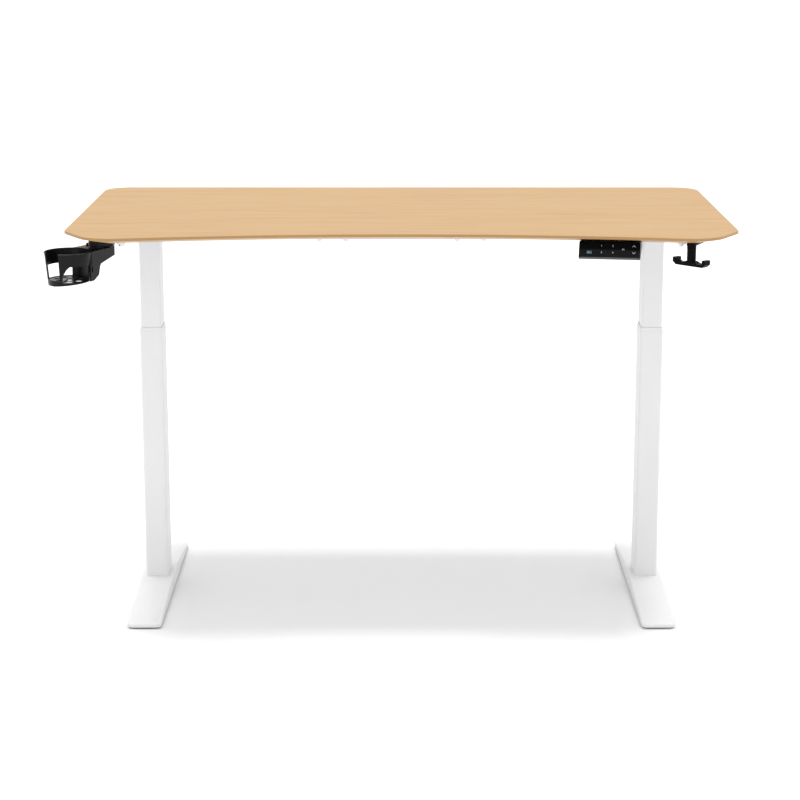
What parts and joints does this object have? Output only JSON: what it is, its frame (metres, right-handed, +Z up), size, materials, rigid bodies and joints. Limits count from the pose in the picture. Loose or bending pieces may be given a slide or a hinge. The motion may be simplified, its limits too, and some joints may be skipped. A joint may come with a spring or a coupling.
{
  "type": "height adjustable standing desk",
  "caption": "Height adjustable desk: concave-fronted wood top on telescopic legs with flat feet, under-edge handset, swivelling cup holder and headphone hook.",
  "frame": {"origin": "on the floor, midway between the two legs' centre lines", "axes": "+Z up, +X to the seated user's right, -Y towards the user (front), +Y to the rear"},
  "size_m": [1.435, 0.8077, 0.865],
  "materials": {
    "wood_top": "satin",
    "white_paint": "satin",
    "zinc_steel": "satin",
    "black_screws": "satin",
    "machined_steel": "satin",
    "die_cast": "matt",
    "motor_steel": "satin",
    "guide_plastic": "matt",
    "rubber": "matt",
    "black_plastic": "satin",
    "circuit_board": "satin",
    "fascia_black": "gloss",
    "window_black": "gloss",
    "accessory_black": "satin",
    "key_plastic": "satin"
  },
  "bodies": {
    "base": {"left_foot": "white_paint", "right_foot": "white_paint", "foot_stiffeners": "zinc_steel", "column_bolts": "zinc_steel", "left_outer_tube": "white_paint", "right_outer_tube": "white_paint", "tube_collars": "guide_plastic", "nut_tubes": "machined_steel", "spindle_nuts": "guide_plastic"},
    "top": {"tabletop": "wood_top", "left_inner_tube": "white_paint", "right_inner_tube": "white_paint", "slide_sleeves": "guide_plastic", "head_plates": "white_paint", "head_bolts": "zinc_steel", "gearbox_housings": "die_cast", "gearbox_covers": "die_cast", "spindle_bearings": "machined_steel", "worm_gearbox": "die_cast", "motor_housing": "motor_steel", "motor_rotor": "machined_steel", "motor_bracket": "white_paint", "left_side_bracket": "white_paint", "right_side_bracket": "white_paint", "centre_rails": "white_paint", "side_rails": "white_paint", "rail_lock_bolts": "zinc_steel", "rail_end_bolts": "zinc_steel", "frame_screws": "zinc_steel", "rubber_pads": "rubber", "accessory_screws": "black_screws", "control_case": "black_plastic", "control_lid": "black_plastic", "control_board": "circuit_board", "control_sockets": "black_plastic", "handset_case": "black_plastic", "handset_fascia": "fascia_black", "handset_window": "window_black", "handset_board": "circuit_board", "cup_mount": "accessory_black", "hook_mount": "accessory_black"},
    "left_spindle": {"left_spindle": "machined_steel"},
    "right_spindle": {"right_spindle": "machined_steel"},
    "drive_shaft": {"drive_shaft": "machined_steel", "shaft_gears": "machined_steel"},
    "cup_holder": {"cup_holder": "accessory_black"},
    "hook": {"headphone_hook": "accessory_black", "hook_pivot_screw": "black_screws"},
    "left_front_glide": {"left_front_glide": "rubber"},
    "left_rear_glide": {"left_rear_glide": "rubber"},
    "right_front_glide": {"right_front_glide": "rubber"},
    "right_rear_glide": {"right_rear_glide": "rubber"},
    "key_one": {"key_one": "key_plastic"},
    "key_two": {"key_two": "key_plastic"},
    "key_three": {"key_three": "key_plastic"},
    "key_four": {"key_four": "key_plastic"},
    "key_memory": {"key_memory": "key_plastic"},
    "key_up": {"key_up": "key_plastic"},
    "key_down": {"key_down": "key_plastic"}
  },
  "joints": [
    {"name": "height_adjust", "type": "slide", "parent": "base", "child": "top", "axis": [0, 0, 1], "range_m": [-0.145, 0.315]},
    {"name": "left_spindle_turn", "type": "hinge", "parent": "top", "child": "left_spindle", "pos_m": [-0.555, 0, 0.5], "axis": [0, 0, 1], "continuous": true},
    {"name": "right_spindle_turn", "type": "hinge", "parent": "top", "child": "right_spindle", "pos_m": [0.555, 0, 0.5], "axis": [0, 0, 1], "continuous": true},
    {"name": "drive_shaft_turn", "type": "hinge", "parent": "top", "child": "drive_shaft", "pos_m": [0, 0, 0.8245], "axis": [1, 0, 0], "continuous": true},
    {"name": "cup_holder_swivel", "type": "hinge", "parent": "top", "child": "cup_holder", "pos_m": [-0.6325, -0.303, 0.83], "axis": [0, 0, 1], "range_deg": [-115, 80]},
    {"name": "hook_swivel", "type": "hinge", "parent": "top", "child": "hook", "pos_m": [0.595, -0.355, 0.836], "axis": [0, 0, 1], "continuous": true},
    {"name": "left_front_glide_screw", "type": "slide", "parent": "base", "child": "left_front_glide", "axis": [0, 0, -1], "range_m": [0, 0.005]},
    {"name": "left_rear_glide_screw", "type": "slide", "parent": "base", "child": "left_rear_glide", "axis": [0, 0, -1], "range_m": [0, 0.005]},
    {"name": "right_front_glide_screw", "type": "slide", "parent": "base", "child": "right_front_glide", "axis": [0, 0, -1], "range_m": [0, 0.005]},
    {"name": "right_rear_glide_screw", "type": "slide", "parent": "base", "child": "right_rear_glide", "axis": [0, 0, -1], "range_m": [0, 0.005]},
    {"name": "key_one_press", "type": "slide", "parent": "top", "child": "key_one", "axis": [0.1286, 0.8382, -0.5299], "range_m": [0, 0.0004], "stiffness_N_per_m": 2500, "springref_m": -0.0004},
    {"name": "key_two_press", "type": "slide", "parent": "top", "child": "key_two", "axis": [0.1286, 0.8382, -0.5299], "range_m": [0, 0.0004], "stiffness_N_per_m": 2500, "springref_m": -0.0004},
    {"name": "key_three_press", "type": "slide", "parent": "top", "child": "key_three", "axis": [0.1286, 0.8382, -0.5299], "range_m": [0, 0.0004], "stiffness_N_per_m": 2500, "springref_m": -0.0004},
    {"name": "key_four_press", "type": "slide", "parent": "top", "child": "key_four", "axis": [0.1286, 0.8382, -0.5299], "range_m": [0, 0.0004], "stiffness_N_per_m": 2500, "springref_m": -0.0004},
    {"name": "key_memory_press", "type": "slide", "parent": "top", "child": "key_memory", "axis": [0.1286, 0.8382, -0.5299], "range_m": [0, 0.0004], "stiffness_N_per_m": 2500, "springref_m": -0.0004},
    {"name": "key_up_press", "type": "slide", "parent": "top", "child": "key_up", "axis": [0.1286, 0.8382, -0.5299], "range_m": [0, 0.0004], "stiffness_N_per_m": 2500, "springref_m": -0.0004},
    {"name": "key_down_press", "type": "slide", "parent": "top", "child": "key_down", "axis": [0.1286, 0.8382, -0.5299], "range_m": [0, 0.0004], "stiffness_N_per_m": 2500, "springref_m": -0.0004}
  ],
  "couplings": [
    {"joint": "right_spindle_turn", "follows": "height_adjust", "rad_per_m": 785.4},
    {"joint": "left_spindle_turn", "follows": "height_adjust", "rad_per_m": -785.4},
    {"joint": "drive_shaft_turn", "follows": "height_adjust", "rad_per_m": -785.4}
  ]
}
